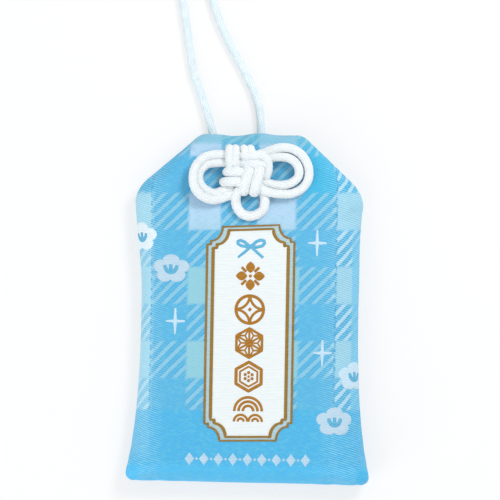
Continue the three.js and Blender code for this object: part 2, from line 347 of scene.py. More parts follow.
LEFT_HOLE_X = -6.3
RIGHT_HOLE_X = 1.1
HOLE_DROP = 4.5
LEFT_EXIT_X = -8.4
RIGHT_EXIT_X = 1.6
EXIT_Z = 1.1
LOOP_START = 1.15
LOOP_FALL = 0.25
LOOP_FALL_LENGTH = 10.0
LOOP_ROUTE = [
    (LEFT_EXIT_X, 0), (-9.3, 3), (-10.8, 7.4), (-12, 10.6), (-12.7, 13.8), (-13.25, 17),
    (-13.75, 20.2), (-14.3, 23.4), (-15.5, 30.4), (-17, 37), (-17.6, 40.6), (-16.7, 43.5),
    (-13.9, 45), (-11.1, 43.6), (-10.2, 40.7), (-10.2, 37), (-9.7, 30.6), (-7.8, 23.5),
    (-6.5, 20.3), (-4.95, 17.1), (-3.25, 14), (-1.5, 10.8), (0.05, 7.6), (1.1, 4.4),
    (RIGHT_EXIT_X, 0),
]
LOOP_PATH_STEP = 0.8
LOOP_BEND = (-0.2, 2.6)
HOLE_RUN = [
    (0, -3.6, 2.9), (0, -2.4, 2.75), (0.05, -1.1, 2.2), (0.17, 0.3, 1.25), (0.36, 1.7, 0.45),
    (0.58, 3, 0.08), (0.82, 4.4, 0),
]


def hole_run(hole_x, exit_x):
    """From inside the pouch, down through the hole in its back and up under its top edge."""
    hole_y = top_y - HOLE_DROP
    return [(lerp(hole_x, exit_x, share), hole_y + y, EXIT_Z + z) for share, y, z in HOLE_RUN]


def add_hanging_cord():
    loop = [(x, top_y + LOOP_START + y, EXIT_Z - LOOP_FALL * ease(y, 0.0, LOOP_FALL_LENGTH))
            for x, y in LOOP_ROUTE]
    line = hole_run(LEFT_HOLE_X, LEFT_EXIT_X) + loop + hole_run(RIGHT_HOLE_X, RIGHT_EXIT_X)[::-1]
    route = [(*point, CORD_DIAMETER / 2) for point in line]
    piece = add_braid("hanging_loop", [route], loop_yarn)
    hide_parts("hanging_cord", "left_cord_run", "right_cord_run")
    [tuple(point[:3] * MM) for point in smooth_route(route, LOOP_PATH_STEP)]
    start, end = ((0, (top_y + y) * MM, EXIT_Z * MM) for y in LOOP_BEND)
    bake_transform(piece)
    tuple(start)
    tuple(end)


add_hanging_cord()


# Bow knot: each point is (x, y, z) from the knot's middle, z from just above the pouch's neck

KNOT_X = -1.8
KNOT_DROP = 9.2
KNOT_REST_Z = 6.3
EAR_RADIUS = 0.86
MIDDLE_RADIUS = 0.98
FULL_WITHIN = (4.5, 2.0)
TAIL_RADIUS = 0.94
EAR_LIFT = 0.5
EAR_LIFT_FROM = (4.0, 8.5)
EARS = {
    "left_ear_outer": [
        (-1.4, -2.5, 0.75), (-3, -3.25, 0.85), (-5.8, -4.1, 1.1), (-8, -3.5, 1.6), (-9.5, -2, 2),
        (-10, 0.2, 2.1), (-9.5, 2.5, 2), (-8, 4.2, 1.6), (-6, 4.9, 1.1), (-4.2, 5, 0.9),
        (-2.6, 4.95, 0.8), (-1, 4.9, 1.1), (0.4, 4.8, 1.9), (2, 4.8, 2.4), (3.6, 4.7, 2.2),
        (4.8, 3.7, 1.7), (4.95, 2.1, 1.45), (4.6, 0.9, 1.3), (4.2, 0.1, 1),
    ],
    "left_ear_inner": [
        (-1.6, -1.4, 0.8), (-3.4, -1.95, 0.85), (-5.8, -2.75, 0.85), (-7.5, -2.1, 0.9), (-8.6, -0.9, 0.95),
        (-8.9, 0.4, 0.95), (-8.5, 1.8, 0.95), (-7.2, 3, 0.9), (-5.6, 3.3, 0.85), (-4, 3.4, 0.8),
        (-2.4, 3.4, 0.75), (-0.8, 3.3, 1), (0.6, 3.2, 1.8), (2, 3.2, 2.35), (3.4, 3.1, 2.1),
        (4.2, 2.8, 1.5), (4.4, 2.3, 0.9),
    ],
    "right_ear_outer": [
        (2.2, 4.9, 0.7), (3.8, 5.3, 0.8), (5.4, 6, 0.85), (7.4, 6.55, 0.85), (9.4, 6.4, 0.85),
        (11.2, 5.5, 0.85), (12.5, 3.9, 0.85), (13.1, 2, 0.85), (12.9, 0.1, 0.85), (11.8, -1.5, 0.85),
        (10, -2.5, 0.85), (7.8, -2.7, 0.95), (5.8, -2.5, 1.35), (4.2, -2, 1.5), (2.8, -1.35, 1),
        (1.2, -0.8, 0.9), (-0.2, -0.5, 1.7), (-1.6, -0.4, 2.35), (-3, -0.4, 2.1), (-3.9, -0.5, 1.4),
        (-4.1, -0.6, 0.6),
    ],
    "right_ear_inner": [
        (3.8, 4, 0.75), (5.4, 4.45, 0.85), (7, 4.7, 0.85), (8.8, 4.55, 0.85), (10.3, 3.7, 0.85),
        (11.1, 2.2, 0.85), (10.9, 0.7, 0.85), (9.7, -0.4, 0.85), (8, -0.9, 0.85), (6.2, -0.85, 0.85),
        (4.6, -0.4, 0.8), (3, 0.35, 0.75), (1.4, 1, 0.9), (0, 1.4, 1.7), (-1.4, 1.5, 2.35),
        (-2.6, 1.55, 2.1), (-3.3, 1.5, 1.3), (-3.5, 1.4, 0.6),
    ],
}
TAIL_LOOP = [
    (0.6, -1.2, 1), (-0.5, -1.9, 1.5), (-1.3, -3, 1.6), (-1.4, -4.4, 1.1), (-1, -5.7, 0.9),
    (0, -6.8, 0.9), (1.5, -7.2, 0.9), (3, -6.8, 0.9), (4.1, -5.8, 0.9), (4.4, -4.4, 0.8),
    (4.3, -3.1, 0.5), (3.7, -2, 0.4),
]
UPRIGHT_RADIUS = 0.82
UPRIGHT_SPACING = 1.14
LEFT_UPRIGHT = [
    (-2.7, 5.8, 0.5), (-2.8, 6.2, 1.3), (-2.8, 6, 2), (-2.8, 5.25, 2.4), (-2.8, 3.95, 2.4),
    (-2.7, 2.55, 1.7), (-2.7, 1.35, 0.95), (-2.6, 0, 0.75), (-2.4, -0.8, 0.75),
]
CROSSING_WIDE = 1.13
CROSSING_SLIM = 0.82
CROSSINGS = ([
    (0.05, -1.8, 0.5), (0.1, -2.15, 1.2), (0.15, -1.9, 2), (0.3, -1, 2.4), (0.6, 0.2, 2.45),
    (1, 1.6, 2.2), (1.2, 2.8, 1.3), (1, 4, 0.8), (0.55, 5.1, 1.2), (0.2, 5.75, 2),
    (0.05, 6.15, 1.6), (0.05, 6.25, 0.6),
], [
    (2.1, -2, 0.5), (2.2, -2.3, 1.2), (2.3, -2, 2), (2.5, -1, 2.4), (2.8, 0.25, 2.45),
    (3.1, 1.7, 2.2), (3.1, 2.9, 1.3), (2.5, 4.05, 0.8), (1.85, 5.1, 1.2), (1.5, 5.75, 2),
    (1.35, 6.15, 1.6), (1.3, 6.25, 0.6),
])
SLIM_FROM_Y = 4.0
HIDDEN_PASS = [(-2.8, -0.4, 0.95), (-1.2, 0.6, 0.9), (0.4, 0.4, 0.9), (1.8, 0.9, 0.9), (3.4, 2.2, 0.9)]
# The two cords that go down into the pouch: left x, right x, y and z
DOWN = [(-2, 1.2, 3.3, 0.7), (-3.2, 2, 4, 0.35), (-4.1, 2.7, 4.5, -0.4), (-4.5, 2.9, 4.7, -1.4),
        (-4.5, 2.9, 4.7, -2.6)]


def on_knot(x, y, z=0.0):
    """A point given from the knot's middle, in the part's frame."""
    return (KNOT_X + x, top_y - KNOT_DROP + y, KNOT_REST_Z + z)


def strand(points, radius):
    """A strand's route, of one radius."""
    return [(*on_knot(*point), radius) for point in points]


def ear_strand(points):
    """An ear's strand, fuller in the knot's middle and standing off the pouch at the ear's end."""
    route = []
    for x, y, z in points:
        lift = EAR_LIFT * ease(abs(x), *EAR_LIFT_FROM)
        radius = lerp(EAR_RADIUS, MIDDLE_RADIUS, ease(abs(x), *FULL_WITHIN))
        route.append((*on_knot(x, y, z + lift), radius))
    return route


def crossing(points):
    """A strand that is full across the knot's middle and slimmer at the top."""
    return [(*on_knot(*point), CROSSING_SLIM if point[1] > SLIM_FROM_Y else CROSSING_WIDE)
            for point in points]


def blend_on_knot(piece, child):
    """Bake the piece's place into its mesh."""
    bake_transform(piece)


def add_knot():
    routes = [crossing(points) for points in CROSSINGS] + [strand(HIDDEN_PASS, MIDDLE_RADIUS)]
    for shift in (0, UPRIGHT_SPACING):
        routes.append(strand([(x + shift, y, z) for x, y, z in LEFT_UPRIGHT], UPRIGHT_RADIUS))
    core = add_braid("knot_middle", routes, knot_yarn)
    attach(core, "knot")
    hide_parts("knot_core")
    down = [[(row[side], *row[2:]) for row in DOWN] for side in (0, 1)]
    cords = add_braid("knot_cords", [strand(points, CORD_DIAMETER / 2) for points in down], knot_yarn)
    blend_on_knot(cords, "knot")
    loose = {node: ear_strand(points) for node, points in EARS.items()}
    loose["tail_loop"] = strand(TAIL_LOOP, TAIL_RADIUS)
    for node, route in loose.items():
        piece = add_braid(node + "_strand", [route], knot_yarn)
        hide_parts(node)
        body = node.rpartition("_")[0]
        blend_on_knot(piece, body)


add_knot()


# Pouch: a closed padded form, sewn round its edge and slightly crowned front and back

TOP_WIDTH = 20.6
SHOULDER_WIDTH = 46.6
SHOULDER_DROP = 11.6
SHOULDER_ROUND = 3.8
WAIST_WIDTH = 44.0
WAIST_ABOVE_BOTTOM = 35.0
BOTTOM_WIDTH = 49.6
TOP_CORNER = 1.2
BOTTOM_CORNER = 2.0
NECK_FRONT_Z = 6.0
NECK_BACK_Z = 2.3
FRONT_NECK = (13.0, 19.0)
BACK_NECK = (20.0, 27.5)
EDGE_ROUND = 7.0
END_ROUND = 4.5
CROWN_POWER = 2.5
FLARE_POWER = 2.5
LEAN = 0.5
LEAN_FROM = (4.0, 18.0)
LEAN_BACK = 0.3
LEAN_BACK_FROM = (25.0, 33.0)
TOP_WAVE = ((1.8, 2.6, 0.38), (-3.6, 2.2, -0.22))
TOP_WAVE_DEPTH = 6.0
FOOT_LIFT = 0.25
DIMPLE_DEPTH = 1.1
DIMPLE_SPREAD = (11.0, 4.5)
DIMPLE_ABOVE_KNOT = 1.0
SIM_SCALE = 20.0
SIM_FRAMES = 20
SIM_CAP = 0.45
CLOTH = dict(quality=5, mass=0.3, tension_stiffness=15, compression_stiffness=15, shear_stiffness=8,
             bending_stiffness=2, shrink_min=-0.03, use_pressure=True, uniform_pressure_force=4,
             vertex_group_mass="held")
BORDER_STEPS = (0.0, 0.12, 0.35, 0.7, 1.2, 1.8, 2.5, 3.3, 4.2, 5.2, 6.4)
BORDER_SHARE = 0.45
MIDDLE_STEP = 1.0
MIDDLE_COLUMNS = 36


def corner_cut(distance, size):
    """How far a rounded corner of that size pulls the outline in, at a distance from the end."""
    if distance >= size:
        return 0.0
    return size - math.sqrt(size ** 2 - (size - distance) ** 2)


def half_width(y):
    """Half the pouch's width at a height: flared at the foot, cut off at the shoulders."""
    shoulder_y = top_y - SHOULDER_DROP
    waist_y = bottom_y + WAIST_ABOVE_BOTTOM
    upper = max(y - waist_y, 0) / (shoulder_y - waist_y)
    lower = max(waist_y - y, 0) / (waist_y - bottom_y)
    side = WAIST_WIDTH + (SHOULDER_WIDTH - WAIST_WIDTH) * upper ** 2
    side += (BOTTOM_WIDTH - WAIST_WIDTH) * lower ** FLARE_POWER
    slant = lerp(TOP_WIDTH, SHOULDER_WIDTH, (top_y - y) / SHOULDER_DROP)
    gap = abs(side - slant) / 2
    least = min(side, slant) / 2 - max(SHOULDER_ROUND - gap, 0) ** 2 / (4 * SHOULDER_ROUND)
    return least - corner_cut(top_y - y, TOP_CORNER) - corner_cut(y - bottom_y, BOTTOM_CORNER)


def lean(y):
    """How far the pouch lies to the right of its foot: it leans left, and its top swings back."""
    return LEAN_BACK * ease(y, *LEAN_BACK_FROM) - LEAN * ease(y, *LEAN_FROM)


def edge_wave(x, y):
    """How far the top edge waves up and down, and the foot's left end lifts."""
    wave = sum(height * math.exp(-((x - place) / spread) ** 2) for place, spread, height in TOP_WAVE)
    wave *= ease(y, top_y - TOP_WAVE_DEPTH, top_y)
    foot = FOOT_LIFT * ease(-x, 0.0, half_width(bottom_y + BOTTOM_CORNER))
    return wave + foot * ease(y, bottom_y + TOP_WAVE_DEPTH, bottom_y)


def rise(distance, length):
    """0 at the seam and 1 past the rounded edge, steep at first."""
    share = min(max(distance / length, 0.0), 1.0)
    return (1 - (1 - share) ** CROWN_POWER) ** (1 / CROWN_POWER)


def border_and_middle(low, high, middle_count):
    """Places from low to high, close together at both ends."""
    fit = min(1.0, BORDER_SHARE * (high - low) / BORDER_STEPS[-1])
    border = [step * fit for step in BORDER_STEPS]
    middle = np.linspace(low + border[-1], high - border[-1], middle_count + 1)[1:-1]
    return [low + step for step in border] + list(middle) + [high - step for step in border[::-1]]


def pouch_height(x, y, front):
    """Height of the front or back over the ground; the knot draws a dimple into the front."""
    cover = rise(half_width(y) - abs(x), EDGE_ROUND)
    cover *= rise(top_y - y, END_ROUND) * rise(y - bottom_y, END_ROUND)
    if front:
        across = (x - KNOT_X) / DIMPLE_SPREAD[0]
        along = (y - top_y + KNOT_DROP - DIMPLE_ABOVE_KNOT) / DIMPLE_SPREAD[1]
        dimple = DIMPLE_DEPTH * math.exp(-across ** 2 - along ** 2)
        face = lerp(front_z, NECK_FRONT_Z, ease(y, *FRONT_NECK)) - dimple
    else:
        face = lerp(0.0, NECK_BACK_Z, ease(y, *BACK_NECK))
    return lerp(seam_z, face, cover)


def pouch_form():
    """Points and faces, and the grids of front and back points, which share those of the seam."""
    rows = border_and_middle(bottom_y, top_y, round((top_y - bottom_y) / MIDDLE_STEP))
    grid = [[(x, y) for x in border_and_middle(-half_width(y), half_width(y), MIDDLE_COLUMNS)] for y in rows]
    front = np.arange(len(rows) * len(grid[0])).reshape(len(rows), -1)
    back = front.copy()
    within = back[1:-1, 1:-1]
    within[:] = front.size + np.arange(within.size).reshape(within.shape)
    places = [(*place, True) for line in grid for place in line]
    places += [(*place, False) for line in grid[1:-1] for place in line[1:-1]]
    points = [(x + lean(y), y + edge_wave(x, y), pouch_height(x, y, side)) for x, y, side in places]
    faces = []
    for sheet, order in ((front, 1), (back, -1)):
        quads = np.stack([sheet[:-1, :-1], sheet[:-1, 1:], sheet[1:, 1:], sheet[1:, :-1]], axis=2)
        faces += quads.reshape(-1, 4)[:, ::order].tolist()
    return np.array(points), faces, front, back


def laid_flat(points, front, back):
    """Each point's place on the fabric laid flat; the third value is 1 in front and -1 behind."""
    grid = points[front]
    middle_row, middle_column = (count // 2 for count in front.shape)
    across = np.hypot(np.diff(grid[:, :, 0], axis=1), np.diff(grid[:, :, 2], axis=1))
    across = np.pad(np.cumsum(across, axis=1), ((0, 0), (1, 0)))
    across += (grid[:, middle_column, 0] - across[:, middle_column])[:, None]
    height = grid[1:, :, 1]
    at_end = (height < bottom_y + END_ROUND) | (height > top_y - END_ROUND)
    up = np.hypot(np.diff(grid[:, :, 1], axis=0), np.diff(grid[:, :, 2], axis=0) * at_end)
    up = np.pad(np.cumsum(up, axis=0), ((1, 0), (0, 0)))
    up += grid[middle_row, :, 1] - up[middle_row]
    flat = np.zeros_like(points)
    for sheet, side in ((front, 1.0), (back, -1.0)):
        flat[sheet] += np.stack([across, up, np.full_like(up, side)], axis=2)
    flat[front[front == back]] /= 2
    return flat


def settle(points, faces, held_points):
    """The fabric let loose on a cloth simulation, a little slack and filled, held along its seam."""
    mesh = bpy.data.meshes.new("settling")
    mesh.from_pydata([Vector(point) * MM * SIM_SCALE for point in points], [], faces)
    cloth_piece = add_object("settling", mesh)
    cloth_piece.vertex_groups.new(name="held").add(held_points, 1.0, "REPLACE")
    cloth = cloth_piece.modifiers.new("cloth", "CLOTH")
    for name, value in CLOTH.items():
        setattr(cloth.settings, name, value)
    cloth.settings.effector_weights.gravity = 0
    cloth.collision_settings.use_collision = False
    cloth.point_cache.frame_end = SIM_FRAMES
    scene = bpy.context.scene
    for moment in range(1, SIM_FRAMES + 1):
        scene.frame_set(moment)
    settled = cloth_piece.evaluated_get(bpy.context.evaluated_depsgraph_get()).to_mesh()
    swell = np.array([vertex.co for vertex in settled.vertices]) / (MM * SIM_SCALE) - points
    scene.frame_set(1)
    bpy.data.objects.remove(cloth_piece)
    distance = np.linalg.norm(swell, axis=1)[:, None]
    return points + swell * np.minimum(1, SIM_CAP / np.maximum(distance, LEAST_LENGTH))


# Brocade: checks of plain, striped and pale cells, woven in fine slanting lines

CELL_PITCH = 7.41
COLUMN_START = -27.38
ROW_START = 38.15
RAGGED = 1.2
CELL_FEATHER = 0.3
PLAIN_BELOW = -20.1
ROW_SKEW = 0.0158
NECK_GATHER = 1.0
GATHER_WITHIN = (12.5, 7.5)
GATHER_FROM = (10.0, 15.0)
LAVENDER_FROM = (10.0, 20.0)
EDGE_CELLS = (16.0, 18.0)
EDGE_STRIP = (20.5, 21.0)
EDGE_STRIP_BELOW = (18.0, 12.0)
LEFT_COLUMN = (-19.2, -20.4)
# Painted sheen on the left column: a lighter colour for the light on the rounded left side, faded out at the
# shoulder and at the foot corner
PAINTED_SHEEN_BELOW = (24.0, 21.0)
PAINTED_SHEEN_ABOVE = (-31.5, -28.0)
LEFT_BARE_ABOVE = (22.8, 23.6)
RIGHT_COLUMN = (15.5, 17.5)
STRIPE_PITCH = 1.74
STRIPE_PHASE = -2.15
STRIPE_LIGHT = (-0.35, 0.75)
# Painted shadow beside the raised stripes: the ramps of the diagonal wave that bound it on each flank
PAINTED_STRIPE_SHADOW_EDGES = ((-0.85, -0.5), (0.1, -0.2))
STRIPE_SHARE = (0.62, 0.82)
# Share of the painted stripe shadow in the inner and outer columns
PAINTED_STRIPE_SHADOW_SHARE = (0.45, 0.75)
# Share of the painted sheen on the plain foot and on the woven checks
PAINTED_SHEEN_SHARE = (0.18, 0.45)
RIGHT_STRIPES_FROM = (16.95, 17.2)
RIGHT_STRIPES_UP = 0.8
TWILL_PITCH = 0.43
TWILL_SLOPE = math.radians(16)
TWILL_SHARE = 0.5
WARP_SHARE = 0.2
LOW_THREAD = (1.0, -0.2)
LOW_SHARE = (0.2, 0.375)
HIGH_THREAD = (0.55, 1.1)
HIGH_SHARE = (0.15, 0.6)
TWILL_LEFT = (-16.0, -19.5)
TWILL_RIGHT = (12.5, 17.5)
LINES_ABOVE = (-36.5, -34.5)
CORNER_OUT = (21.0, 23.0)
CORNER_BELOW = (-30.5, -33.0)
WARP_PITCH = 0.24
FLOAT_LINES = (-20.05, 17.08)
# Painted shade along the top edge, where the fabric bends away from the light: it dims the pale cells and
# turns the top teal
PAINTED_TOP_SHADE_BAND = (32.6, 33.8)
# Painted light along the foot: a lighter blue where the foot's edge turns away from the lamps
PAINTED_FOOT_LIGHT_FROM = (-30.0, -32.5)
# Painted shade on the right shoulder: a deeper teal that takes out the key light's sheen there
PAINTED_SHADE_RIGHT_OF = (8.0, 12.5)
PAINTED_SHADE_ABOVE = (20.0, 23.5)
FLOAT_PITCH = 1.7
FLOAT_WITHIN = (0.3, 0.12)
BLUE = srgb(84, 181, 226)
BLUE_LOW = srgb(69, 181, 231)
# Painted light for the foot's edge
PAINTED_FOOT_LIGHT = srgb(76, 192, 244)
BLUE_DEEP = srgb(62, 158, 208)
BLUE_TEAL = srgb(112, 204, 226)
# Painted shade for the right shoulder
PAINTED_SHOULDER_SHADE = srgb(58, 186, 228)
# Painted shade along the top edge
PAINTED_TOP_SHADE_TEAL = srgb(120, 190, 190)
STRIPE_PALE = srgb(163, 213, 231)
# Stripe colour in the outer columns: the pattern's brighter stripes, with painted sheen on the left column
STRIPE_BRIGHT = srgb(206, 238, 248)
EDGE_BLUE = srgb(116, 202, 239)
# Painted sheen: the lighter colour laid over the left column
PAINTED_SHEEN_BLUE = srgb(190, 236, 249)
CELL_EDGE = srgb(170, 219, 236)
CELL_TEAL = srgb(149, 208, 222)
CELL_LAVENDER = srgb(188, 219, 244)
TWILL_LIGHT = srgb(176, 228, 248)


def brocade_material():
    graph = Graph("brocade", Roughness=0.5, Specular_IOR_Level=0.3, Sheen_Weight=0.08, Sheen_Roughness=0.35)
    graph.lay_by(graph.attribute("weave")["Vector"])
    u, v = graph.x, graph.y
    add, times, most, rest = graph.add, graph.times, graph.most, graph.rest
    level, ramp, mix = graph.level, graph.ramp, graph.mix
    ragged = times(add(graph.noise(2.0, 2.0, (1.0, 2.0, 1.0)), -0.5), RAGGED)
    from_middle = graph.math("ABSOLUTE", u)
    gathered = times(ramp(from_middle, *GATHER_WITHIN), ramp(v, *GATHER_FROM), NECK_GATHER)
    x = add(u, ragged, gathered)
    y = add(v, times(ragged, 0.6), times(u, -ROW_SKEW))
    woven = ramp(y, PLAIN_BELOW - CELL_FEATHER, PLAIN_BELOW + CELL_FEATHER)
    column_on, row_on = (
        times(ramp(graph.wave(place, 2 * CELL_PITCH), -CELL_FEATHER / 2, CELL_FEATHER / 2), woven)
        for place in (add(x, -COLUMN_START), graph.math("SUBTRACT", ROW_START, y)))
    both = times(column_on, row_on)
    # Painted shade along the top edge
    painted_top_shade = ramp(v, *PAINTED_TOP_SHADE_BAND)
    left_column = ramp(u, *LEFT_COLUMN)
    outer = most(ramp(u, *RIGHT_COLUMN), left_column)
    bare = times(left_column, ramp(v, *LEFT_BARE_ABOVE))
    either = times(graph.math("SUBTRACT", add(column_on, row_on), times(both, 2.0)), rest(bare))
    raised = times(ramp(u, *RIGHT_STRIPES_FROM), RIGHT_STRIPES_UP)
    across = add(graph.math("SUBTRACT", u, v), times(ragged, 0.5), raised)
    diagonal = graph.wave(across, STRIPE_PITCH * math.sqrt(2), STRIPE_PHASE)
    striped = times(either, ramp(diagonal, *STRIPE_LIGHT))
    # Painted shadow along both flanks of each raised stripe
    painted_stripe_shadow = times(either, *(ramp(diagonal, *side) for side in PAINTED_STRIPE_SHADOW_EDGES))

    slanting = add(times(v, math.cos(TWILL_SLOPE)), times(u, math.sin(TWILL_SLOPE)))
    twill = graph.wave(slanting, TWILL_PITCH)
    warp = graph.wave(u, WARP_PITCH)
    uneven = graph.noise(1.8, 3.0, (0.4, 2.2, 1.0))
    corner = times(ramp(from_middle, *CORNER_OUT), ramp(v, *CORNER_BELOW))
    flat = times(ramp(v, *LINES_ABOVE), rest(corner))
    thread = add(times(add(times(twill, TWILL_SHARE), times(warp, WARP_SHARE)), flat), uneven)
    near_side = most(ramp(u, *TWILL_LEFT), ramp(u, *TWILL_RIGHT))
    floats = graph.wave(add(v, times(ragged, 3.0)), FLOAT_PITCH)
    floats = times(ramp(floats, 0.2, 0.7), woven, 0.9)

    tint = ramp(graph.noise(0.8, 3.0, (1.0, 1.6, 1.0)), 0.45, 0.7)
    cell = mix(ramp(y, *LAVENDER_FROM), CELL_TEAL, CELL_LAVENDER)
    cell = mix(times(tint, 0.4), cell, CELL_TEAL)
    cell = mix(ramp(from_middle, *EDGE_CELLS), cell, CELL_EDGE)
    # Painted sheen: the left column coloured lighter, between the shoulder and the foot corner
    painted_sheen = times(left_column, ramp(v, *PAINTED_SHEEN_BELOW), ramp(v, *PAINTED_SHEEN_ABOVE))
    layers = [
        # painted light along the foot
        (ramp(v, *PAINTED_FOOT_LIGHT_FROM), PAINTED_FOOT_LIGHT),
        (times(tint, 0.35), BLUE_TEAL),
        # painted shade on the right shoulder
        (times(ramp(u, *PAINTED_SHADE_RIGHT_OF), ramp(v, *PAINTED_SHADE_ABOVE)), PAINTED_SHOULDER_SHADE),
        # painted shadow beside the stripes
        (times(painted_stripe_shadow, level(outer, *PAINTED_STRIPE_SHADOW_SHARE)), BLUE_DEEP),
        # brighter stripes in the outer columns, partly painted sheen on the left
        (times(striped, level(outer, *STRIPE_SHARE)), mix(outer, STRIPE_PALE, STRIPE_BRIGHT)),
        # pale cells dimmed and the top turned teal: painted shade along the bent-over top edge
        (times(both, rest(times(painted_top_shade, 0.5))), cell),
        (times(painted_top_shade, 0.3), PAINTED_TOP_SHADE_TEAL),
        (times(ramp(u, *EDGE_STRIP), ramp(v, *EDGE_STRIP_BELOW), woven, 0.85), EDGE_BLUE),
        # painted sheen over the left column
        (times(painted_sheen, level(woven, *PAINTED_SHEEN_SHARE)), PAINTED_SHEEN_BLUE),
        (times(ramp(thread, *LOW_THREAD), level(near_side, *LOW_SHARE)), BLUE_DEEP),
        (times(ramp(thread, *HIGH_THREAD), level(near_side, *HIGH_SHARE)), TWILL_LIGHT),
    ]
    for place in FLOAT_LINES:
        near = ramp(graph.math("ABSOLUTE", add(u, -place)), *FLOAT_WITHIN)
        layers.append((times(near, floats), BLUE_DEEP))
    colour = mix(woven, BLUE_LOW, BLUE)
    for share, tone in layers:
        colour = mix(share, colour, tone)
    graph.set(graph.shader, Base_Color=colour)
    graph.bump(add(times(thread, 0.5), times(striped, 0.9), times(both, 0.4)), 0.08, 0.8)
    return graph


brocade = brocade_material()


def add_pouch():
    points, faces, front, back = pouch_form()
    points = settle(points, faces, front[front == back].tolist())
    points[:, 2] = np.maximum(points[:, 2], 0.0)
    piece = add_mesh("pouch_fabric", [(points, faces)], brocade)
    flat = laid_flat(points, front, back)
    piece.data.attributes.new("weave", "FLOAT_VECTOR", "POINT").data.foreach_set("vector", flat.ravel())
    rounded = piece.modifiers.new("rounded", "SUBSURF")
    rounded.render_levels = 1
    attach(piece, "pouch")
    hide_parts("front_panel", "back_panel")
    return piece


pouch = add_pouch()


# Woven ornament: thin closed shells that lie on the pouch's face

THREAD_SINK = 0.06
RIBBON_PROFILE = ((-0.5, None), (-0.41, 0.75), (0.0, 1.0), (0.41, 0.75), (0.5, None))
LINE_STEP = 0.3
FILL_STEP = 0.8
RIM = 0.14
RIM_CLEAR = 0.098
NO_GAP = 1e-3
MERGE_WITHIN = 1e-6


class Face:
    """The pouch's finished front, laid flat to place thin shapes on."""

    def __init__(self, piece):
        mesh = piece.evaluated_get(bpy.context.evaluated_depsgraph_get()).to_mesh()
        mesh.calc_loop_triangles()
        weave = [Vector(item.vector) for item in mesh.attributes["weave"].data]
        self.flat = [Vector((*place.xy, 0)) for place in weave]
        self.spots = [vertex.co / MM for vertex in mesh.vertices]
        self.normals = [vertex.normal.copy() for vertex in mesh.vertices]
        self.corners = [tuple(triangle.vertices) for triangle in mesh.loop_triangles
                        if sum(weave[corner].z for corner in triangle.vertices) > 0]
        self.tree = BVHTree.FromPolygons(self.flat, self.corners)

    def keep(self, x, y):
        """The place, moved in where it lies past the seam."""
        return tuple(self.tree.find_nearest(Vector((x, y, 0)))[0].xy)

    def place(self, x, y, lift):
        """The point of the front at that place of the fabric, lifted off it."""
        place, _, index, _ = self.tree.find_nearest(Vector((x, y, 0)))
        flat, spots, normals = ([values[corner] for corner in self.corners[index]]
                                for values in (self.flat, self.spots, self.normals))
        normal = barycentric_transform(place, *flat, *normals).normalized()
        return tuple(barycentric_transform(place, *flat, *spots) + normal * lift)


def spaced(line, step, closed):
    """The line with extra points, so that no two are further apart than the step."""
    ends = line[1:] + line[:1] if closed else line[1:]
    points = []
    for here, there in zip(line, ends):
        count = max(1, math.ceil(math.dist(here[:2], there[:2]) / step))
        points += [tuple(lerp(a, b, i / count) for a, b in zip(here, there)) for i in range(count)]
    return points if closed else points + [line[-1]]


def along_loop(points):
    """The direction of a closed line at each of its points."""
    return unit(np.roll(points, -1, axis=0) - np.roll(points, 1, axis=0))


def ribbon_tube(face, line, lift, closed):
    """Points and faces of one raised thread along a line of (x, y, width)."""
    path = np.array(spaced(line, LINE_STEP, closed))
    flat = path[:, :2]
    along = along_loop(flat) if closed else unit(np.gradient(flat, axis=0))
    points = []
    for (x, y, width), (along_x, along_y) in zip(path, along):
        for share, height in RIBBON_PROFILE:
            stand = -THREAD_SINK if height is None else lift * height
            points.append(face.place(x - along_y * width * share, y + along_x * width * share, stand))
    faces = tube_faces(len(path), len(RIBBON_PROFILE), closed)
    return points, [corners[::-1] for corners in faces]


def patch_shell(face, outline, lift):
    """Points and faces of one raised filled shape, whose rim runs down into the face."""
    rim = spaced([face.keep(*point) for point in outline], LINE_STEP, True)
    rim = [point for point, before in zip(rim, rim[-1:] + rim[:-1]) if math.dist(point, before) > NO_GAP]
    edge = np.array(rim)
    along = along_loop(edge)
    inner = edge + RIM * np.stack([-along[:, 1], along[:, 0]], axis=1)
    spans = [np.arange(low, high, FILL_STEP) for low, high in zip(edge.min(axis=0), edge.max(axis=0))]
    grid = np.stack(np.meshgrid(*spans, indexing="ij"), axis=2).reshape(-1, 2)
    filling = np.vstack([inner, grid])
    gap = np.min(np.linalg.norm(filling[:, None] - edge[None], axis=2), axis=1)
    flat = [Vector(point) for point in (*edge, *filling[gap > RIM_CLEAR])]
    loop = [(i, (i + 1) % len(rim)) for i in range(len(rim))]
    spots, _, triangles, sources, _, _ = delaunay_2d_cdt(flat, loop, [], 1, MERGE_WITHIN)
    points = []
    above = {}
    under = {}
    for spot in sorted({spot for corners in triangles for spot in corners}):
        at_rim = any(source < len(rim) for source in sources[spot])
        above[spot] = len(points)
        points.append(face.place(*spots[spot], -THREAD_SINK if at_rim else lift))
        if not at_rim:
            points.append(face.place(*spots[spot], -2 * THREAD_SINK))
        under[spot] = len(points) - 1
    faces = [[above[spot] for spot in corners] for corners in triangles]
    return points, faces + [[under[spot] for spot in corners[::-1]] for corners in triangles]


# Shapes of the ornament

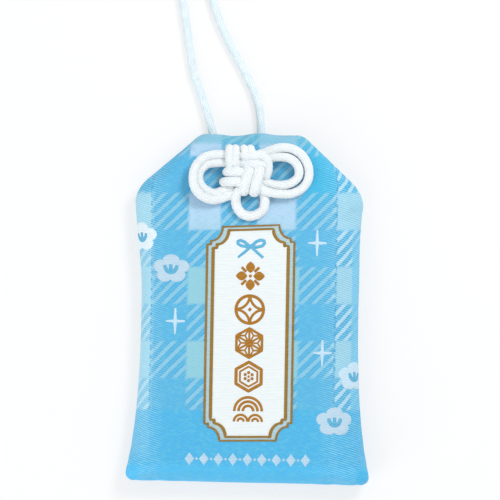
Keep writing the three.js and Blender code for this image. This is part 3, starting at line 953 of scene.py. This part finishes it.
PLAQUE_CENTRE = (-0.04, -4.75)
PLAQUE_OUTER = (17.4, 42.9)
PLAQUE_INNER = (15.0, 41.4)
PLAQUE_SKEW = (0.02, 0.05)
SIDE_STEP = (0.75, 0.7)
HOLLOW = (2.3, 2.75)
FRAME_STEP = 0.6
OUTER_LINE = (0.5, 0.36)
INNER_LINE = (0.74, 0.46)
BOW_CENTRE = (-0.05, 12.55)
BLOSSOM_REACH = (3.85, 2.95)
BLOSSOM_POINTS = 80
PETAL_NOTCH = 0.76
PETAL_ROUND = 0.65
BLOSSOMS = {
    "blossoms": ((-15.95, 7.9), (17.3, -22.15)),
    "edge_blossom": ((21.7, -13.1),),
    # Painted highlight: the blossom on the left rim is woven in a near-white weft for the light on that side
    "painted_gloss_blossom": ((-22.6, 14.2),),
}
SPARKLES = ((13.2, 13.5), (14.6, -8.45), (-14.9, -2.55))
SPARKLE_ARMS = (1.95, 2.65)
SPARKLE_TAPER = ((-1.0, 0.3), (-0.6, 0.5), (-0.2, 0.72), (0.2, 0.72), (0.6, 0.55), (1.0, 0.42))
ORNAMENT_TOP = 6.7
ORNAMENT_PITCH = 6.7
FOOT_ROW_Y = -30.0
FOOT_ROW_STEP = 1.45
FOOT_ROW_STEPS = 8
LOZENGE = [(1.05, 0.0), (0.0, 1.4), (-1.05, 0.0), (0.0, -1.4)]
DOT_RADIUS = 0.34


def arc(centre, radius, start, end, count=12):
    """Points on an arc, its angles in degrees."""
    angles = [math.radians(lerp(start, end, i / count)) for i in range(count + 1)]
    return [(centre[0] + radius * math.cos(a), centre[1] + radius * math.sin(a)) for a in angles]


def moved(points, centre):
    """Points from their own middle, put round a centre; a width stays as it is."""
    return [(point[0] + centre[0], point[1] + centre[1], *point[2:]) for point in points]


def wide(points, width):
    """A line of one width."""
    return [(*point[:2], width) for point in points]


def polygon(radius, sides, start=90.0):
    return arc((0, 0), radius, start, start + 360, sides)[:-1]


def plaque_outline(size):
    """A frame whose corners are cut by a step and a hollow quarter oval; its top slants a little."""
    half_x, half_y = size[0] / 2, size[1] / 2
    hollow_x = half_x - SIDE_STEP[0]
    foot = half_y - HOLLOW[1] - SIDE_STEP[1]
    oval = [(hollow_x + HOLLOW[0] * x, half_y + HOLLOW[1] * y) for x, y in arc((0, 0), 1.0, 270, 180, 8)]
    corner = [(half_x, foot), (hollow_x, foot), *oval]
    outline = corner + [(-x, y) for x, y in corner[::-1]]
    outline += [(-x, -y) for x, y in outline]
    slanted = [(x, y + x * lerp(*PLAQUE_SKEW, y / size[1] + 0.5)) for x, y in outline]
    return moved(slanted, PLAQUE_CENTRE)


def frame_line(size, upright_width, level_width):
    """The plaque's outline as a line, wider where it runs up and down."""
    outline = spaced(plaque_outline(size), FRAME_STEP, True)
    line = []
    for here, after in zip(outline, outline[1:] + outline[:1]):
        upright = abs(after[1] - here[1]) / max(math.dist(here, after), LEAST_LENGTH)
        line.append((*here, lerp(level_width, upright_width, upright)))
    return line


def blossom_outline(centre):
    """Five petals, one of them at the top."""
    points = []
    for i, (x, y) in enumerate(polygon(1.0, BLOSSOM_POINTS)):
        petal = abs(math.cos(5 * math.pi * i / BLOSSOM_POINTS)) ** PETAL_ROUND
        reach = lerp(PETAL_NOTCH, 1.0, petal)
        points.append((BLOSSOM_REACH[0] * reach * x, BLOSSOM_REACH[1] * reach * y))
    return moved(points, centre)


STAMEN_LINES = (
    [(-1.25, 0.65, 0.7), (-1.05, 0, 0.9), (-0.65, -0.55, 0.9)],
    [(0, 0.85, 0.8), (0, -0.6, 0.9)],
    [(1.25, 0.65, 0.7), (1.05, 0, 0.9), (0.65, -0.55, 0.9)],
    [(-0.9, -0.35, 0.8), (-0.5, -0.65, 0.9), (0, -0.75, 0.9), (0.5, -0.65, 0.9), (0.9, -0.35, 0.8)],
)
BOW_LINES = (
    [(0, 0, 0.85), (-0.5, 0.3, 0.75), (-1.3, 0.95, 0.7), (-2.05, 1.25, 0.7), (-2.6, 1.05, 0.7),
     (-2.6, 0.55, 0.7), (-1.9, 0.15, 0.65), (-0.7, 0, 0.7), (0, 0, 0.85)],
    [(0, 0, 0.85), (0.45, 0.4, 0.75), (1.1, 1.05, 0.7), (1.9, 1.35, 0.7), (2.65, 1.25, 0.7),
     (2.75, 0.75, 0.7), (2.3, 0.2, 0.7), (1.1, -0.1, 0.7), (0, 0, 0.85)],
    [(0.1, 0.2, 0.8), (-1.1, -1, 0.65), (-2.5, -2.15, 0.55)],
    [(-0.1, 0.2, 0.8), (1.2, -1.05, 0.65), (2.5, -2.15, 0.65)],
)


def sparkle_lines(centre):
    """Two crossing strokes that run to points."""
    arms = ((SPARKLE_ARMS[0], 0), (0, SPARKLE_ARMS[1]))
    return [moved([(x * t, y * t, width) for t, width in SPARKLE_TAPER], centre) for x, y in arms]


def quarters(points):
    """A shape and its three copies, each turned a quarter further."""
    copies = [points]
    for _ in range(3):
        copies.append([(-y, x) for x, y in copies[-1]])
    return copies


# Each sign comes as filled outlines, closed lines and open lines

def flower_diamond():
    """Four filled petals with a bud between each two."""
    side = [(lerp(0.5, 3.0, i / 10), math.sin(math.pi * i / 10) ** 0.8) for i in range(11)]
    petal = [(x, -y) for x, y in side] + side[-2:0:-1]
    buds = quarters([(0.85, 0.85), (1.75, 1.75)])
    return quarters(petal) + [polygon(0.42, 12)], [], [wide(bud, 0.65) for bud in buds]


def ring_and_star():
    """A ring with the hollow-sided star that overlapping rings leave."""
    reach = 2.75
    star = quarters(arc((reach, reach), reach * 0.98, 270, 180))
    return [polygon(0.55, 4)], [wide(polygon(reach, 40), 0.72)], [wide(line, 0.6) for line in star]


def hemp_leaf():
    """A six-sided star of triangles, each with three spokes to its middle."""
    corners = polygon(2.95, 6)
    lines = []
    for here, after in zip(corners, corners[1:] + corners[:1]):
        middle = ((here[0] + after[0]) / 3, (here[1] + after[1]) / 3)
        lines += [wide([(0, 0), here], 0.48), wide([here, middle, after], 0.4), wide([(0, 0), middle], 0.4)]
    return [], [wide(corners, 0.6)], lines


def tortoise_shell():
    """Two six-sided rings round a small flower."""
    dots = [moved(polygon(0.42, 12), spot) for spot in polygon(0.8, 6)]
    rings = [wide(polygon(2.9, 6), 0.75), wide(polygon(2.0, 6), 0.45)]
    return dots + [polygon(0.34, 12)], rings, []


def wave_scales():
    """Nested arcs, one large scale over two small ones."""
    lines = [wide(arc((0, -0.2), reach, 0, 180, 20), 0.62) for reach in (2.75, 1.9, 1.05)]
    for side in (-1, 1):
        lines += [wide(arc((1.45 * side, -2.3), reach, 0, 180, 14), 0.56) for reach in (1.35, 0.6)]
    return [], [], lines


# Each weft has a colour, a shade and, if it isn't the usual one, a pitch
WEFTS = {
    "white": ((242, 247, 247), (225, 236, 240)),
    "border": ((192, 215, 220), (158, 196, 210)),
    "pale": ((200, 223, 238), (160, 205, 232)),
    "petal": ((197, 221, 236), (176, 209, 230)),
    "bright": ((212, 235, 248), (184, 220, 240)),
    "sky": ((104, 188, 224), (86, 170, 210)),
    # Painted highlight for the blossom on the left rim
    "painted_gloss": ((240, 250, 253), (212, 235, 246)),
    "gold": ((190, 128, 18), (148, 98, 16), 0.26),
    "dull_gold": ((168, 126, 36), (126, 98, 34), 0.26),
}
# Each piece has a weft and a height over the pouch's face
LAID = {
    "plaque_border": ("border", 0.05), "plaque_field": ("white", 0.09), "plaque_bow": ("sky", 0.19),
    "plaque_outer_line": ("dull_gold", 0.16), "plaque_inner_line": ("dull_gold", 0.2),
    "plaque_ornaments": ("gold", 0.17), "blossoms": ("petal", 0.08), "edge_blossom": ("bright", 0.08),
    "painted_gloss_blossom": ("painted_gloss", 0.08), "blossom_stamens": ("sky", 0.15), "sparkles": ("bright", 0.1),
    "foot_row": ("pale", 0.07),
}


def thread_material(name, colour, shade, pitch=0.3):
    """Smooth weft threads side by side, each a little lighter or darker than the next."""
    graph = Graph(name, Roughness=0.5, Specular_IOR_Level=0.35, Sheen_Weight=0.1)
    weft = graph.wave(graph.add(graph.y, graph.times(graph.noise(0.5), 0.2)), pitch)
    uneven = graph.noise(2.2, 3.0, (0.3, 2.5, 1.0))
    thread = graph.add(graph.times(weft, 0.25), uneven)
    graph.paint(graph.ramp(thread, 0.85, 0.15), srgb(*colour), srgb(*shade))
    graph.bump(thread, 0.06, 0.6)
    return graph


def add_ornament():
    face = Face(pouch)
    wefts = {name: thread_material(name + "_weft", *look) for name, look in WEFTS.items()}

    def lay(name, fills=(), loops=(), lines=()):
        """One piece of ornament from filled outlines, closed lines and open lines."""
        weft, lift = LAID[name]
        shells = [patch_shell(face, outline, lift) for outline in fills]
        shells += [ribbon_tube(face, line, lift, True) for line in loops]
        shells += [ribbon_tube(face, line, lift, False) for line in lines]
        piece = add_mesh(name, shells, wefts[weft])
        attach(piece, "pouch")

    lay("plaque_border", [plaque_outline(PLAQUE_OUTER)])
    lay("plaque_field", [plaque_outline(PLAQUE_INNER)])
    lay("plaque_outer_line", loops=[frame_line(PLAQUE_OUTER, *OUTER_LINE)])
    lay("plaque_inner_line", loops=[frame_line(PLAQUE_INNER, *INNER_LINE)])
    lay("plaque_bow", lines=[moved(line, BOW_CENTRE) for line in BOW_LINES])

    signs = ([], [], [])
    for i, shape in enumerate((flower_diamond, ring_and_star, hemp_leaf, tortoise_shell, wave_scales)):
        centre = (PLAQUE_CENTRE[0], ORNAMENT_TOP - ORNAMENT_PITCH * i)
        for group, outlines in zip(signs, shape()):
            group.extend(moved(outline, centre) for outline in outlines)
    lay("plaque_ornaments", *signs)

    stamens = []
    for name, centres in BLOSSOMS.items():
        lay(name, [blossom_outline(centre) for centre in centres])
        stamens += [moved(line, centre) for centre in centres for line in STAMEN_LINES]
    lay("blossom_stamens", lines=stamens)
    lay("sparkles", lines=[line for centre in SPARKLES for line in sparkle_lines(centre)])
    row = []
    for i in range(-FOOT_ROW_STEPS, FOOT_ROW_STEPS + 1):
        shape = polygon(DOT_RADIUS, 10) if i % 2 else LOZENGE
        row.append(moved(shape, (i * FOOT_ROW_STEP, FOOT_ROW_Y)))
    lay("foot_row", row)


add_ornament()


# Pieces out of sight: sewing thread, card, paper and wooden tablet keep their solids

def card_material():
    """Grey-brown pulp board with flecks."""
    graph = Graph("pulp_board", Roughness=0.9, Specular_IOR_Level=0.2)
    fleck = graph.ramp(graph.noise(3.0, 4.0), 0.45, 0.7)
    graph.paint(fleck, srgb(214, 203, 180), srgb(182, 168, 142))
    graph.bump(graph.noise(4.0, 3.0), 0.05, 0.5)
    return graph


def paper_material():
    """Off-white paper with long faint fibres."""
    graph = Graph("soft_paper", Roughness=0.85, Specular_IOR_Level=0.2)
    fibre = graph.ramp(graph.noise(1.5, 4.0, (3.0, 0.5, 1.0)), 0.4, 0.7)
    graph.paint(fibre, srgb(246, 243, 235), srgb(226, 221, 207))
    graph.bump(fibre, 0.04, 0.4)
    return graph


def wood_material():
    """Pale planed wood, its grain along the tablet."""
    graph = Graph("planed_wood", Roughness=0.6, Specular_IOR_Level=0.3)
    bend = graph.times(graph.noise(0.06), 6.0)
    grain = graph.wave(graph.add(graph.x, bend), 1.1)
    pore = graph.noise(2.5, 3.0, (2.5, 0.15, 1.0))
    share = graph.ramp(graph.add(graph.times(grain, 0.3), pore), 0.1, 0.9)
    graph.paint(share, srgb(231, 203, 158), srgb(196, 152, 101))
    graph.bump(pore, 0.05, 0.4)
    return graph


def dress(graph, *nodes):
    """Give pieces that keep their solids a finish of their own."""
    for node in nodes:
        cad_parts[node].material_slots[0].material = graph.material


dress(thread_material("sewing_thread", (118, 196, 230), (82, 164, 206), 0.4),
      "left_seam_thread", "right_seam_thread", "bottom_seam_thread")
dress(card_material(), "stiffener_card")
dress(paper_material(), "paper_wrapper")
dress(wood_material(), "wooden_tablet")


# Floor, light and finish

FLOOR_HALF = 600.0
FLOOR_Z = -0.05
FLOOR_GLOW = 0.6
WORLD_LIGHT = 0.66


def add_floor():
    graph = Graph("floor", Roughness=0.9, Specular_IOR_Level=0.1, Base_Color=srgb(247, 248, 249))
    glow = graph.node("ShaderNodeEmission").outputs[0]
    blend = graph.node("ShaderNodeMixShader")
    sockets = (graph.times(graph.seen(), FLOOR_GLOW), graph.shader.outputs[0], glow)
    for socket, value in zip(blend.inputs, sockets):
        graph.put(socket, value)
    graph.set(graph.tree.nodes["Material Output"], Surface=blend.outputs[0])
    corners = [(FLOOR_HALF * x, FLOOR_HALF * y, FLOOR_Z) for x, y in ((-1, -1), (1, -1), (1, 1), (-1, 1))]
    add_mesh("floor", [(corners, [(0, 1, 2, 3)])], graph)


def add_light(name, place, size, power):
    data = bpy.data.lights.new(name, "AREA")
    data.size = size * MM
    data.energy = power
    lamp = add_object(name, data)
    lamp.location = Vector(place) * MM
    lamp.rotation_euler = (-lamp.location).to_track_quat("-Z", "Y").to_euler()


def add_world():
    """Even light all round, which looks plain white itself."""
    world = bpy.data.worlds.new("studio")
    nodes = Nodes(world)
    level = nodes.node("ShaderNodeMapRange", Value=nodes.seen(), To_Min=WORLD_LIGHT)
    nodes.set(nodes.tree.nodes["Background"], Color=(1, 1, 1, 1), Strength=level.outputs["Result"])
    bpy.context.scene.world = world


add_floor()
add_light("key", place=(150, 200, 280), size=110, power=0.53)
add_light("fill", place=(-210, -200, 240), size=220, power=0.21)
add_light("low", place=(-300, -270, 90), size=240, power=0.4)
add_world()
bpy.context.scene.view_settings.view_transform = "Standard"
